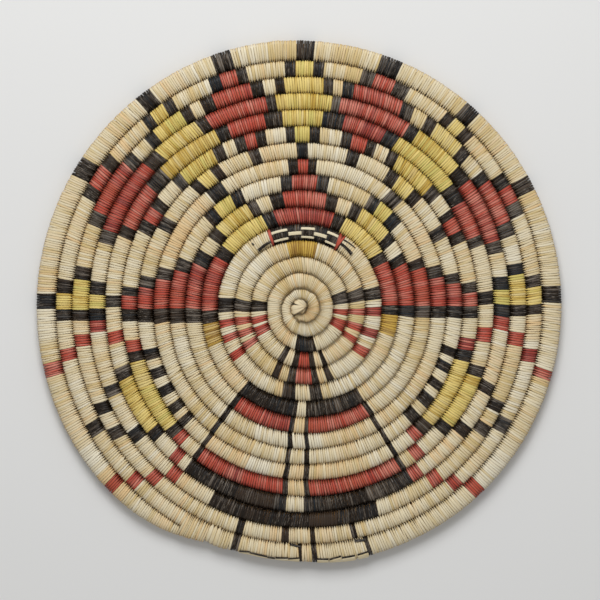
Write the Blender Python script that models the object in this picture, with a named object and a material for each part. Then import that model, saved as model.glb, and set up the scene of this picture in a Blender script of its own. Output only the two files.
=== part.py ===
"""A round coiled basketry plaque: one long grass coil wound into sixteen courses and sewn
with split-leaf splints, natural, black, red, yellow and ochre, whose colours draw a figure
with spread wings under five stepped leaves. It lies on its back, with its face up."""

import math

import bmesh
import bpy
from mathutils import Vector

# The coil's path, in metres, turns and degrees
COURSES = 16
COIL_PITCH = 0.01018
EYE_RADIUS = 0.0041
EYE_DRAW = 0.0048
EYE_EASE_TURNS = 0.675
SETTLE_TURNS = 4
RIM_EXTRA = 0.0015
RIM_EASE_TURNS = 0.1
OVAL_REACH = 0.0009
OVAL_EASE_TURNS = 3
OVAL_AXIS = math.radians(104)
EYE_X = 0.0012
EYE_Y = -0.0030
EYE_DRIFT_X = -0.0003
EYE_DRIFT_Y = 0.0020
FIRST_ANGLE = -110.0
LAST_ANGLE = 250.0

# The coil's section
COIL_HEIGHT = 0.0106
COURSE_GAP = 0.00075
SPLINT_WALL = 0.0010
CLEARANCE = 0.0003
COIL_SIDES = 8
BUNDLE_SIDES = 6

# The tapered end of the coil at the rim
TAPER_FROM = 199.5
FINISH_FROM = 227.0
BLIND_END = 242.0
FINISH_TO = 247.05
TAPER_POWER = 4.3
TIP_share = 0.14

# The strips and ties laid on course 12, and the soles laid on the rim. Their ends are bearings
# in degrees from the plaque's origin.
STRIP_COURSE = 12
STRIP_THICK = 0.0005
STRIP_ENDS = (46.5, 128.5)
STRIP_shares = (0.28, 0.94)
TIE_THICK = 0.0006
TIE_END_share = 0.50
TIES = {"red_tie_right": (57.0, 61.8), "red_tie_left": (113.8, 116.9)}
SOLES = {"left": (-104.0, -91.0), "right": (-86.0, -75.5)}
SOLE_shares = (0.56, 0.92)
EDGE_STRIP_shares = (0.08, 0.48)

# Rings in one turn: the rim's are closer, so that its outline is round
COURSE_RINGS = 24
RIM_RINGS = 48
KNOT_RINGS = 12

# A place this near to a ring counts as on it: in degrees, and as a share of the ring spacing
SAME_ANGLE = 0.05
SAME_RING_share = 1e-6

# An edge sharper than this stays sharp when the faces are shaded
SHARP_ANGLE = math.radians(35)
MILLIMETRE = 0.001

# The roughness that the splints and the grass share, and the colour of each material
ROUGHNESS = 0.62
MATERIALS = {
    "grass_bundle": (0.30, 0.21, 0.10),
    "natural_splint": (0.66, 0.54, 0.32),
    "black_splint": (0.030, 0.027, 0.026),
    "red_splint": (0.42, 0.060, 0.048),
    "yellow_splint": (0.60, 0.47, 0.115),
    "ochre_splint": (0.45, 0.28, 0.075),
}
DYES = {
    "N": "natural_splint",
    "K": "black_splint",
    "R": "red_splint",
    "Y": "yellow_splint",
    "O": "ochre_splint",
}

# The chart of dyes. A course is read with the coil, anticlockwise from below the figure's
# feet. Each run is the letter of its dye and the bearing in degrees, from the plaque's origin,
# where it ends, and a last run of natural reaches the end of the course.
CHART = {
    1: """N-106.3 K-104.6 N-90.7 K-90 N-87.7 K-86.5 N-75.1 K-74.2 N-48.1 R-45.3 N-17.1 R-14.9 N0.4
        K4.2 N26.3 K29.8 N47.1 K50.8 N67.4 K72.2 N87.2 K91.2 N105.8 K110.2 N125.2 K128.8 N145.9
        K150.4 N177.6 K181 N193 R196.1 N222.4 R224.9""",
    2: """N-106.3 K-104.5 N-95 K-93.2 N-87.9 K-86.7 N-77.8 K-76.5 N-50.8 R-48 N-32.7 K-29 N-14.2
        R-10.9 N-2.4 K0 Y4.3 K7.2 N22.2 K25.6 R29.9 K33.3 N44.6 K47.3 Y50.6 K53 N63.4 K67.1 R72.2
        K75.4 N84.6 K87.2 Y91.5 K94.1 N103.3 K105.8 R109.9 K112.7 N122.3 K124.9 Y128.6 K131 N142
        K145.2 R150.6 K153.7 N174 K177.3 Y181.2 K183.9 N190.6 R193.5 N209.2 K212.5 N225.1 R227.9""",
    3: """K-69.7 N-54.3 R-51 N-36 K-32.9 N-28.9 K-25.9 N-10.9 R-7.3 N-3.1 K-0.1 Y7.9 K10.8 N18.1
        K21.8 R33.5 K36.4 N41.5 K44.5 Y53 K56 N59.8 K63.1 R76.3 K79.3 N81.8 K84.3 Y94.5 K96.9 N100
        K103.2 R113.4 K116.7 N119.6 K122.3 Y130.7 K133.5 N138.2 K141.5 R155.6 K159.3 N170.2 K173.6
        Y181.4 K184.2 N187.7 R190.8 N205.9 K209 N213 K216.1 N228 R231.1""",
    4: """K-94.5 N-89.4 K-57.8 R-54.3 N-39.5 K-36.1 N-25.9 K-22.6 N-7.3 R-3.4 K0 Y4.2 K7.9 N14.7
        K18.1 R36.6 K41.3 Y55.9 K59 R79.2 K81.5 Y97.2 K99.9 R117.1 K120.1 Y133.4 K138.1 R159.1
        K162.8 N173.6 K177.3 Y181.1 K184.4 R187.7 N202.8 K205.9 N216.4 K219.9 N231.4 R234.7 N245
        K250""",
    5: """R-96 K-94.3 N-89.3 K-87.7 R-59 K-57.4 N-54 R-50.4 N-42.6 K-39.2 Y-22.4 K-19.1 N-11.6
        R-7.1 N0 K4 N18.2 K21.3 R32.7 K38.7 Y59.8 K64.1 R77.1 K83.6 Y95.9 K101.3 R112.7 K116.6
        Y136.2 K142.4 R156 K159.4 N177.3 K180.8 N188.1 R191.8 N199 K202.8 Y219.7 K223 N229 R232.2
        N234.7 K250""",
    6: """N-96.1 K-94.3 N-89.3 K-87.5 N-58.8 K-57.2 N-50.6 R-47.1 K-42.9 Y-19.3 K-15.5 R-11.4 N-4.6
        K-0.6 R4 K7.5 N21.2 K24.9 R29.8 K32.5 N38.3 K42.2 Y56.6 K60.1 N64.6 K67.9 R73.1 K76.6
        N83.9 K87.3 Y92.3 K95.3 N102 K105.4 R109.1 K112.6 N116.6 K120.3 Y133 K136.4 N143.5 K147.1
        R151.7 K155.7 N174.2 K177.1 R181.6 K185.6 N191.8 R195.7 K199 Y223 K226.1 R229.3 N234.3
        K236 R250""",
    7: """N-96 K-94.3 N-89 K-87.2 N-58.8 K-57.1 N-47.2 K-43 N-39.6 K-35.1 N-32.2 K-28.9 N-25.3
        K-21.6 N-19.2 K-15.9 N-5 K-0.6 R7.9 K11.6 N25 K29.6 N41.5 K45.6 Y52.5 K56.8 N68.6 K73.1
        N87.7 K91.8 N105.4 K109.3 N120.6 K124.1 Y129.6 K133.1 N147.2 K151.9 N169.7 K173.9 R181.5
        K186.5 N196.2 K200.1 N203.5 K207.2 N210.4 K213.9 N217.4 K220.8 N223.2 K226.1 N234.3
        K235.9""",
    8: """N-95.9 K-93.9 N-88.7 K-87 N-59 K-57 N-5.6 K-0.7 R11.2 K16.2 N46 K52.3 N83.9 K87.3 R91.6
        K95.5 N123.4 K130.4 N165.1 K169.8 R181.7 K187.5 N234 K236""",
    9: """R-95.7 K-93.5 N-88.6 K-86.9 R-58.6 K-56.4 N-6.2 K-0.7 R16.9 K21.5 N39.5 K45.2 Y52.1
        K57.5 N77.5 K82.9 R94.6 K99.7 N118.2 K123.6 Y132.5 K138.2 N159 K164.7 R181.8 K188.5
        N234.1 K236.4""",
    10: """K-92.5 N-87.6 K-57 N-6.6 K-0.6 R21.5 K26.9 N33.7 K39 Y57.3 K63 N70.6 K76.8 R99.8
        K106.6 N113.6 K118.7 Y138.1 K144 N151.8 K159.2 R182.2 K189.6 N234.3 K237 R250""",
    11: """N-102.5 K-94.1 N-84.8 K-77.3 N-19.6 O-6.6 K-0.5 R26.9 K33.5 Y62.8 K69.9 R106.8 K114
        Y143.5 K150.8 R183.8 K191.4 O204.8 N234.8 K250""",
    12: """K-107.8 N-100.7 K-94.6 R-82.2 K-77.3 N-71.6 K-66.8 N-41.2 R-34.1 N-25.7 R-19 N-9.1
        R-2.1 N3.8 K13.3 N57 K113.8 N175.1 K185.7 N191 R196.6 N201.8 R207.1 N214.5 R220.2""",
    13: """K-105.4 N-98.7 K-92.8 R-82.4 K-77.1 N-70.7 K-66.6 N-37.2 R-31.1 N-25.9 R-18.5 N-10.6
        R-4.2 N3 K15.5 N75 O104 N175.6 K186.7 N191.7 R198.7 N203 R209.1 N213.5 R219.8 N247.1
        K250""",
    14: """N-98.5 K-71.6 N-34.3 R-20.4 N-14.2 R-6.4 N1 K17.5 N175 K188.7 N194.6 R203.2 N206.5
        R217.1 N247.3 K250""",
}


def clear_scene():
    for thing in list(bpy.data.objects):
        bpy.data.objects.remove(thing, do_unlink=True)


def make_materials():
    made = {}
    for name, colour in MATERIALS.items():
        material = bpy.data.materials.new(name)
        material.use_nodes = True
        shader = material.node_tree.nodes["Principled BSDF"]
        shader.inputs["Base Color"].default_value = (*colour, 1)
        shader.inputs["Roughness"].default_value = ROUGHNESS
        shader.inputs["Metallic"].default_value = 0
        material.diffuse_color = (*colour, 1)
        made[name] = material
    return made


# The spiral

def ease(share):
    """A smooth step from 0 to 1."""
    share = min(1, max(0, share))
    return share * share * (3 - 2 * share)


def turn_at(course, angle):
    """Turns made by the coil's outer edge at this place, counted from the eye."""
    return COURSES + 1 - course + angle / 360


def round_radius(turn):
    """Radius of the coil's outer edge after this many turns, if the plaque were round."""
    radius = EYE_RADIUS + COIL_PITCH * turn - EYE_DRAW * (1 - math.exp(-turn / EYE_EASE_TURNS))
    return radius + RIM_EXTRA * ease((turn - turn_at(1, FIRST_ANGLE)) / RIM_EASE_TURNS)


def eye_at(turn):
    """The middle of the spiral, which drifts a little as the plaque grows."""
    drift = turn / COURSES
    return Vector((EYE_X + EYE_DRIFT_X * drift, EYE_Y + EYE_DRIFT_Y * drift))


def groove_point(turn):
    """A point of the groove that runs outside the coil, after this many turns."""
    around = 2 * math.pi * turn
    oval = OVAL_REACH * ease(turn / OVAL_EASE_TURNS) * math.cos(2 * (around - OVAL_AXIS))
    return eye_at(turn) + (round_radius(turn) + oval) * Vector((math.cos(around), math.sin(around)))


def coil_angle(course, bearing):
    """The coil's own angle, about its eye, where its middle lies at a bearing from the
    plaque's origin. Angles and bearings are in degrees."""
    turn = turn_at(course, bearing)
    around = math.radians(bearing)
    aside = eye_at(turn).dot(Vector((-math.sin(around), math.cos(around))))
    radius = (round_radius(turn) + round_radius(turn - 1)) / 2
    return bearing - math.degrees(math.asin(aside / radius))


def coil_middle(turn):
    return (groove_point(turn) + groove_point(turn - 1)) / 2


def half_spread(turn):
    """Half of the way across the coil. The drift and the oval change it near the eye only, so
    that the coil's section is steady after the first few turns."""
    here = (groove_point(turn) - groove_point(turn - 1)).length
    steady = round_radius(turn) - round_radius(turn - 1)
    return (here + (steady - here) * ease(turn / SETTLE_TURNS)) / 2


def taper_at(course, angle):
    """Share of the coil's width that is left: 1, but less along the last of the rim."""
    if course > 1 or angle <= TAPER_FROM:
        return 1
    along = (angle - TAPER_FROM) / (FINISH_TO - TAPER_FROM)
    return 1 - (1 - TIP_share) * along ** TAPER_POWER


def rings_in(course):
    return RIM_RINGS if course == 1 else COURSE_RINGS


class Place:
    """One cross-section of the coil. It is mitred between the straight runs that meet there,
    so each run has flat sides that lie along those of the courses beside it."""

    def __init__(self, course, angle):
        step = 1 / rings_in(course)
        turn = turn_at(course, angle)
        self.middle = coil_middle(turn)
        ahead = (coil_middle(turn + step) - self.middle).normalized()
        behind = (self.middle - coil_middle(turn - step)).normalized()
        along = (ahead + behind).normalized()
        self.side = Vector((along.y, -along.x)) / along.dot(ahead)
        full = half_spread(turn) * math.cos(math.pi * step)
        taper = taper_at(course, angle)
        self.middle -= self.side * full * (1 - taper)
        self.fullness = math.sqrt(min(1, 2 * full / COIL_PITCH) * taper)
        self.reach = full * taper - COURSE_GAP / 2
        self.rise = COIL_HEIGHT / 2 * self.fullness
        self.wall = SPLINT_WALL * self.fullness

    def point(self, across, up):
        flat = self.middle + self.side * across
        return Vector((flat.x, flat.y, up))

    def corner(self, index, sides, offset, within=False):
        """A corner of an evenly sided loop round the coil. Corner 0 ends the flat underside
        and the rest follow outward and up. A loop within has its corners where one without
        has the middles of its sides."""
        turned = math.pi * ((2 * index + 1) / sides - 0.5)
        scale = 1 if within else 1 / math.cos(math.pi / sides)
        return (
            (self.reach + offset) * scale * math.cos(turned),
            self.rise + (self.rise + offset) * scale * math.sin(turned),
        )


def sewing_profile(place):
    return [place.corner(i, COIL_SIDES, 0) for i in range(COIL_SIDES)]


def bore_profile(place):
    return [place.corner(i, BUNDLE_SIDES, -place.wall, True) for i in range(BUNDLE_SIDES)]


def bundle_profile(place):
    inset = place.wall + CLEARANCE / math.cos(math.pi / BUNDLE_SIDES)
    return [place.corner(i, BUNDLE_SIDES, -inset, True) for i in range(BUNDLE_SIDES)]


def strip_profile(facet, shares, thick):
    """A flat splint that lies on one facet of the sewing, between two shares of its width."""

    def profile(place):
        corners = []
        for offset, order in ((CLEARANCE, shares), (CLEARANCE + thick, shares[::-1])):
            first = Vector(place.corner(facet, COIL_SIDES, offset))
            last = Vector(place.corner(facet + 1, COIL_SIDES, offset))
            corners += [first.lerp(last, share) for share in order]
        return corners

    return profile


def tie_profile(place):
    """A saddle over the three upper facets, clear of the strips under it."""
    inner = 2 * CLEARANCE + STRIP_THICK
    corners = []
    for offset in (inner, inner + TIE_THICK):
        loop = [Vector(place.corner(i, COIL_SIDES, offset)) for i in range(2, 6)]
        loop[0] = loop[0].lerp(loop[1], TIE_END_share)
        loop[3] = loop[3].lerp(loop[2], TIE_END_share)
        corners.append(loop)
    return corners[0] + corners[1][::-1]


# Sweeping a profile along the coil

def ring_points(course, angle, profile):
    """The profile's corners at an angle, on the straight lines between the course's own
    rings, so that a ring added there changes no surface."""
    step = 360 / rings_in(course)
    before = FIRST_ANGLE + step * math.floor((angle - FIRST_ANGLE) / step + SAME_RING_share)
    share = (angle - before) / step
    after = min(before + step, FINISH_TO) if course == 1 else before + step
    if course == 1 and before + step > FINISH_TO:
        share = (angle - before) / (after - before)
    starts = [Place(course, before).point(*corner) for corner in profile(Place(course, before))]
    if share < SAME_RING_share:
        return starts
    ends = [Place(course, after).point(*corner) for corner in profile(Place(course, after))]
    return [start.lerp(end, share) for start, end in zip(starts, ends)]


def ring_angles(course, start, stop):
    """The start, the stop and the angles of the course's own rings between them."""
    step = 360 / rings_in(course)
    own = [FIRST_ANGLE + step * i for i in range(rings_in(course) + 1)]
    between = [angle for angle in own if start + SAME_ANGLE < angle < stop - SAME_ANGLE]
    return [start] + between + [stop]


def half_seam(course, angle):
    """Half of the gap between two courses' ends, in degrees along the coil."""
    return math.degrees(CLEARANCE / 2 / coil_middle(turn_at(course, angle)).length)


def add_ring(shape, points):
    return [shape.verts.new(point) for point in points]


def bridge(shape, one, other):
    """Faces between two rings with as many corners."""
    faces = []
    for i in range(len(one)):
        j = (i + 1) % len(one)
        faces.append(shape.faces.new((one[i], one[j], other[j], other[i])))
    return faces


def close_annulus(shape, outer, inner):
    """The end of a sleeve, as triangles between its outside and its bore."""
    i = j = 0
    while i < len(outer) or j < len(inner):
        near, far = outer[i % len(outer)], inner[j % len(inner)]
        if (i + 1) * len(inner) <= (j + 1) * len(outer):
            i += 1
            shape.faces.new((near, outer[i % len(outer)], far))
        else:
            j += 1
            shape.faces.new((near, inner[j % len(inner)], far))


def finish_object(name, shape, materials):
    bmesh.ops.recalc_face_normals(shape, faces=shape.faces)
    mesh = bpy.data.meshes.new(name)
    shape.to_mesh(mesh)
    shape.free()
    for material in materials:
        mesh.materials.append(material)
    made = bpy.data.objects.new(name, mesh)
    bpy.context.scene.collection.objects.link(made)
    mesh.shade_smooth()
    mesh.set_sharp_from_angle(angle=SHARP_ANGLE)
    return made


def make_swept(name, course, start, stop, profile, material):
    """A solid piece that follows one course."""
    shape = bmesh.new()
    angles = ring_angles(course, start, stop)
    rings = [add_ring(shape, ring_points(course, angle, profile)) for angle in angles]
    for one, other in zip(rings, rings[1:]):
        bridge(shape, one, other)
    shape.faces.new(rings[0])
    shape.faces.new(rings[-1])
    return finish_object(name, shape, [material])


# The pieces

def dye_runs():
    """(dye's letter, turn where the run ends) along the whole coil, from the eye outward."""
    runs = []
    for course in range(COURSES, 0, -1):
        words = CHART.get(course, "").split()
        if not words or float(words[-1][1:]) < LAST_ANGLE:
            words.append(f"N{LAST_ANGLE}")
        for word in words:
            runs.append((word[0], turn_at(course, coil_angle(course, float(word[1:])))))
    return runs


def runs_of(course):
    """(dye's letter, angle where the run ends) along a course and past its end."""
    start = turn_at(course, 0)
    runs = [(letter, 360 * (turn - start)) for letter, turn in dye_runs()]
    return [(letter, end) for letter, end in runs if end > FIRST_ANGLE]


def dye_at(runs, angle):
    return next(letter for letter, end in runs if angle <= end)


def make_sewing(name, course, start, stop, materials, blind_end=None):
    """The sleeve of splints round the bundle, with a ring wherever the dye changes."""
    shape = bmesh.new()
    runs = runs_of(course)
    letters = list(DYES)
    own = ring_angles(course, start, stop)
    changes = [end for _, end in runs if start < end < stop]
    changes = [end for end in changes if min(abs(end - angle) for angle in own) > SAME_ANGLE]
    angles = sorted(own + changes)
    outside = [add_ring(shape, ring_points(course, angle, sewing_profile)) for angle in angles]
    for i in range(len(angles) - 1):
        letter = dye_at(runs, (angles[i] + angles[i + 1]) / 2)
        for face in bridge(shape, outside[i], outside[i + 1]):
            face.material_index = letters.index(letter)
    bore_angles = ring_angles(course, start, blind_end or stop)
    bore = [add_ring(shape, ring_points(course, angle, bore_profile)) for angle in bore_angles]
    for one, other in zip(bore, bore[1:]):
        bridge(shape, one, other)
    close_annulus(shape, outside[0], bore[0])
    if blind_end is None:
        close_annulus(shape, outside[-1], bore[-1])
    else:
        shape.faces.new(outside[-1])
        shape.faces.new(bore[-1])
    return finish_object(name, shape, [materials[DYES[letter]] for letter in letters])


def make_courses(materials):
    for course in range(1, COURSES + 1):
        stop = FINISH_FROM if course == 1 else LAST_ANGLE
        make_sewing(
            f"sewing_course_{course:02d}",
            course,
            FIRST_ANGLE + half_seam(course, FIRST_ANGLE),
            stop - half_seam(course, stop),
            materials,
        )


def make_rim_finish(materials):
    """The last of the sewing, which thins the coil down onto course 2."""
    start = FINISH_FROM + half_seam(1, FINISH_FROM)
    make_sewing("rim_finish", 1, start, FINISH_TO, materials, BLIND_END)


def bundle_angles(course):
    """The bundle runs on from course to course, and stops short of the rim's blind end."""
    if course > 1:
        return ring_angles(course, FIRST_ANGLE, LAST_ANGLE)[:-1]
    return ring_angles(course, FIRST_ANGLE, BLIND_END - 2 * half_seam(course, BLIND_END))


def make_bundle(materials):
    """The grass bundle: one unbroken tube that goes round sixteen times inside the sewing."""
    shape = bmesh.new()
    rings = []
    for course in range(COURSES, 0, -1):
        for angle in bundle_angles(course):
            rings.append(add_ring(shape, ring_points(course, angle, bundle_profile)))
    for one, other in zip(rings, rings[1:]):
        bridge(shape, one, other)
    shape.faces.new(rings[0])
    shape.faces.new(rings[-1])
    return finish_object("foundation_bundle", shape, [materials["grass_bundle"]])


def make_start_knot(materials):
    """The start, drawn up tight: a button whose edge is the first turn of the spiral, with a
    step against which the coil's own end lies."""
    first = turn_at(COURSES + 1, FIRST_ANGLE)
    opening = Place(COURSES, FIRST_ANGLE)
    eye = Vector((EYE_X, EYE_Y))
    shape = bmesh.new()
    rings = []
    for index in range(4):
        across, up = opening.corner(index, COIL_SIDES, 0)
        inset = COURSE_GAP / 2 + opening.reach - across
        points = []
        for i in range(KNOT_RINGS + 1):
            edge = groove_point(first + i / KNOT_RINGS)
            radius = (edge - eye).length - inset
            swing = half_seam(COURSES, FIRST_ANGLE) if i == KNOT_RINGS else 0
            around = math.radians(FIRST_ANGLE + 360 * i / KNOT_RINGS - swing)
            flat = eye + radius * Vector((math.cos(around), math.sin(around)))
            points.append(Vector((flat.x, flat.y, up)))
        rings.append(add_ring(shape, points))
    for one, other in zip(rings, rings[1:]):
        bridge(shape, one, other)
    shape.faces.new(rings[0])
    shape.faces.new(rings[-1])
    return finish_object("start_knot", shape, [materials["natural_splint"]])


def make_overlay(materials):
    """Three pale splints laid along the top of the figure's headband, held by two red ties."""
    near, far = STRIP_shares
    places = {"outer": (2, (near, far)), "middle": (3, (1 - far, far)), "inner": (4, (1 - far, 1 - near))}
    ends = [coil_angle(STRIP_COURSE, bearing) for bearing in STRIP_ENDS]
    for name, (facet, shares) in places.items():
        profile = strip_profile(facet, shares, STRIP_THICK)
        material = materials["natural_splint"]
        make_swept(f"overlay_strip_{name}", STRIP_COURSE, *ends, profile, material)
    for name, bearings in TIES.items():
        ends = [coil_angle(STRIP_COURSE, bearing) for bearing in bearings]
        make_swept(name, STRIP_COURSE, *ends, tie_profile, materials["red_splint"])


def make_soles(materials):
    """A black sole under each boot, with a pale splint outside it, both laid on the rim."""
    for name, bearings in SOLES.items():
        ends = [coil_angle(1, bearing) for bearing in bearings]
        sole = strip_profile(2, SOLE_shares, STRIP_THICK)
        make_swept(f"boot_sole_{name}", 1, *ends, sole, materials["black_splint"])
        edge = strip_profile(2, EDGE_STRIP_shares, STRIP_THICK)
        make_swept(f"edge_strip_{name}", 1, *ends, edge, materials["natural_splint"])


# Measuring

def corner_line(course, stop, profile, corner):
    """The way that one corner of the profile takes along a course, seen from above."""
    angles = ring_angles(course, FIRST_ANGLE, stop)
    return [ring_points(course, angle, profile)[corner].xy for angle in angles]


def distance_to(point, one, other):
    """From a point to the straight run between two others."""
    run = other - one
    share = min(1, max(0, (point - one).dot(run) / run.length_squared))
    return (point - one - share * run).length


def least_gap(profile, near, far):
    """Least distance on the ground between corner near of a turn and corner far of the next."""
    least = math.inf
    for course in range(COURSES, 1, -1):
        inner = corner_line(course, LAST_ANGLE, profile, near)
        outer = corner_line(course - 1, FINISH_TO if course == 2 else LAST_ANGLE, profile, far)
        for line, points in ((inner, outer), (outer, inner)):
            for one, other in zip(line, line[1:]):
                least = min(least, min(distance_to(point, one, other) for point in points))
    return least


def main():
    clear_scene()
    materials = make_materials()
    make_bundle(materials)
    make_start_knot(materials)
    make_courses(materials)
    make_rim_finish(materials)
    make_overlay(materials)
    make_soles(materials)
    sewing_gap = least_gap(sewing_profile, 1, 6) / MILLIMETRE
    bundle_gap = least_gap(bundle_profile, 1, 4) / MILLIMETRE
    print(f"least gap between turns: sewing {sewing_gap:.2f} mm, bundle {bundle_gap:.2f} mm")


if __name__ == "__main__":
    main()
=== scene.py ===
"""Dresses a round coiled basketry plaque. Every stitch of its sewing is a leaf splint of its own,
wrapped round a grass bundle that winds sixteen times from the eye to the rim, and the order of
the splints' dyes draws a winged figure under five stepped leaves."""

import math

import bmesh
import bpy
import numpy as np
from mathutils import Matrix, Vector


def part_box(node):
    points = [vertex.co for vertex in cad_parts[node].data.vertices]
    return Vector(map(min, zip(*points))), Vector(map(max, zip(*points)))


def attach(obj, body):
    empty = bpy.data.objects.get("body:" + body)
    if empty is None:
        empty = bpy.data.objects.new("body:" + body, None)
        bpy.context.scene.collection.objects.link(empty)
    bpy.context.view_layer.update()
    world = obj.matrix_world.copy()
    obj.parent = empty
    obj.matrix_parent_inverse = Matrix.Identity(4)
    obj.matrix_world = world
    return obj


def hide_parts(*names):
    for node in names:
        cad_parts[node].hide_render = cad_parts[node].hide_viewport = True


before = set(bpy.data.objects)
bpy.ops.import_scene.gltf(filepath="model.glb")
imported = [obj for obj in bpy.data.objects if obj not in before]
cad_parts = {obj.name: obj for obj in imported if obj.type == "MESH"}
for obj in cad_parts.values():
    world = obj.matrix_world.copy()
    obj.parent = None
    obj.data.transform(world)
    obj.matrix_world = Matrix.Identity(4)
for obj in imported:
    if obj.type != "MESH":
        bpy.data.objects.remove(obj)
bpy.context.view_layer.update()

bl_info = {
    "name": "Coiled Plaque",
    "version": (1, 0, 0),
    "blender": (4, 5, 0),
    "location": "3D View > Sidebar > Plaque",
    "description": "Sews a coiled basketry plaque over its packed solids, stitch by stitch",
    "category": "Object",
}

# The coil's path, in metres, turns and degrees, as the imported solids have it
COURSES = 16
COIL_PITCH = 0.01018
EYE_RADIUS = 0.0041
EYE_DRAW = 0.0048
EYE_EASE_TURNS = 0.675
RIM_EXTRA = 0.0015
RIM_EASE_TURNS = 0.1
OVAL_REACH = 0.0009
OVAL_EASE_TURNS = 3
OVAL_AXIS = math.radians(104)
EYE_X = 0.0012
EYE_Y = -0.0030
EYE_DRIFT_X = -0.0003
EYE_DRIFT_Y = 0.0020
FIRST_ANGLE = -110.0
LAST_ANGLE = 250.0

# How the real coil strays from that path, by 2 mm at most: (turn, turns wide, reach) of stretches
# that lie further out or in, waves round a turn and the turns in which they grow, a sway of its
# middle, and ripples of (rate, shift). Waves and ripples die away in the last turns.
SWELLS = (
    (7.2, 2.3, 0.0007),
    (2.7, 1.2, -0.0005),
    (15.1, 0.6, -0.0004),
    (-0.06, 0.20, -0.0020),
    (0.41, 0.20, 0.0018),
    (15.695, 0.010, 0.0019),
    (15.742, 0.010, -0.0003),
    (15.784, 0.014, 0.0005),
    (16.285, 0.045, 0.0006),
    (16.266, 0.003, 0.0005),
)
WAVES = 4
WAVE_REACH = 0.0005
WAVE_AXIS = math.radians(141)
WAVES_FROM = 2
WAVES_FULL = 6
SWAY = (0.0004, -0.0002)
RIPPLES = ((39, 1), (71, 2))
RIPPLE_REACH = 0.00012
LAST_TURNS = 3

# The tapered end of the coil at the rim
TAPER_FROM = 199.5
FINISH_FROM = 227.0
SPAN_FROM = 240.9
FINISH_TO = 247.05
TAPER_POWER = 4.3
TIP_SHARE = 0.14

# The size of the coil's section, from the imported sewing
COIL_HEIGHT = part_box("sewing_course_08")[1].z
REACH = COIL_PITCH / 2
RISE = COIL_HEIGHT / 2

# How much wider than its room a stitch is, so that the courses touch high up
SNUG = 1.05

# How many sides a stitch has along its loop and across its width
LOOP_SIDES = 16
WIDTH_SIDES = 5

# How the loop is squared: (shares of the half width and half height past which its points are
# pushed out, and how far), and the shares past which its shoulders, ends and upper side lie
SQUARING = ((0.3, 0.3, 1.04, 1.045), (0.6, 0.6, 1.03, 1.04), (0.85, 0.2, 1.0, 1.2))
SHOULDER_SHARE = 0.6
END_SHARE = 0.85
UPPER_SHARE = 0.2

# How far the tip of a beak rises, and how far the shoulder goes with it, as shares of the beak
BEAK_RISE = 0.5
SHOULDER_REACH = 0.5
SHOULDER_RISE = 0.2

# How stitches differ. They lean in (reach, rate, shift) of two sways along the coil, and a little
# of their own, and each may be shorter, lower and narrower than the pattern by these shares.
LEAN_SWAYS = ((0.25, 8.1, 0), (0.17, 23, 2))
LEAN_SPREAD = 0.06
SHORTER_SHARE = 0.05
LOWER_SHARE = 0.05
NARROWER_SHARE = 0.14

# The room of a stitch along the coil, in pitches: how it varies, within which ends, also for the
# broad stitches, and the least for which a run of the chart is sewn at all
ROOM_SPREAD = 0.12
ROOMS = (0.7, 1.35)
BROAD_ROOMS = (0.7, 1.3)
LEAST_ROOM = 0.4

# One leaf gives this many stitches, and shifts their tone and tint by this much, its tone within
# these ends. Each stitch adds a tint and a fade across the coil of its own.
LEAF_STITCHES = (5, 22)
LEAF_SPREADS = (0.2, 0.3)
LEAF_TONES = (-0.3, 0.5)
TINT_SPREAD = 0.22
FADE_SPREAD = 0.12

# How far each splint's grain is shifted at most, so that no two are alike
GRAIN_SHIFT = 9

# The seeds of what differs by chance. A course's seed is its number, and the room of stitches has
# a seed that is higher by ROOM_SEEDS.
SEEDS = {
    "rim end": 30,
    "gap": 40,
    "start": 50,
    "band": 60,
    "ties": 70,
    "black ends": 80,
    "soles": 90,
    "sole edges": 110,
}
ROOM_SEEDS = 100

# The start: the angle where the coil leaves its button, the hole that the button's stitches fan
# out from, their number, and their tone as a share of other stitches' tone
START_ANGLE = -144.0
START_HOLE = (0.0033, -0.0013)
START_STITCHES = 14
START_TONE_SHARE = 0.6

# The bundle: how many steps its tube has in a turn, and how much of a splint's depth is outside
BUNDLE_STEPS = 96
BUNDLE_COVER_SHARE = 0.8

# The last gap of course 2, past the end of the rim, is filled by a few broad stitches of this tone
GAP_STITCHES = 3
GAP_TONE = 0.55

# An edge sharper than this stays sharp when the faces are shaded, and points of a stitch that are
# nearer to its middle than this lie on its crown
SHARP_ANGLE = math.radians(50)
NEAR = 1e-6

# How deep a stitch's crown counts as lying in the groove, where shade is painted, as a share of its
# sides
CROWN_SHARE = 0.70

# The photograph's centre on the plaque, and how far the floor lies below its underside
PICTURE_CENTRE = (-0.00105, 0.00277)
FLOOR_DROP = -0.00005

# How far out the floor starts to look paler than its light makes it, where that is done, and how
# pale it then is, as a share of its colour
FLOOR_FADE = (1.1, 2.2)
FLOOR_GLOW = 0.5

# The lamps, as place and side, and the width of the camera's sensor in millimetres
LAMPS = {"key": ((-0.1, 0.95, 1.1), 0.8), "fill": ((0.2, -0.7, 1.2), 1.2)}
SENSOR_WIDTH = 36

# The dyes in the order of the sewing's material slots, and for each the tone that its splints
# lie round and how far one splint's tone is from the next
DYES = "NKRYO"
TONES = ((0.30, 0.19), (0.12, 0.22), (0.34, 0.30), (0.28, 0.30), (0.38, 0.45))

# How much the tone of each dye's splints falls or rises, from the inner groove to the outer one
FADES = (0, 0, 0, 0, -0.25)

# How much darker, towards straw, the natural leaf is made at most, in how many courses from the
# rim, and at what angle
RIM_SIDE_DARKENING = 0.3
DARKENED_COURSES = 3
DARKENED_SIDE = math.radians(70)

# The grain of a leaf, as changes to a metre along the splint and across it: its fine fibres, its
# broad streaks, and the pale patches that are rubbed wear and painted glints, with the ends
# between which a patch appears
FINE_GRAIN = (90, 5200)
BROAD_GRAIN = (70, 1500)
RUBBED_GLINT_GRAIN = (330, 2400)
RUBBED_GLINT_ENDS = (0.54, 0.68)

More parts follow.
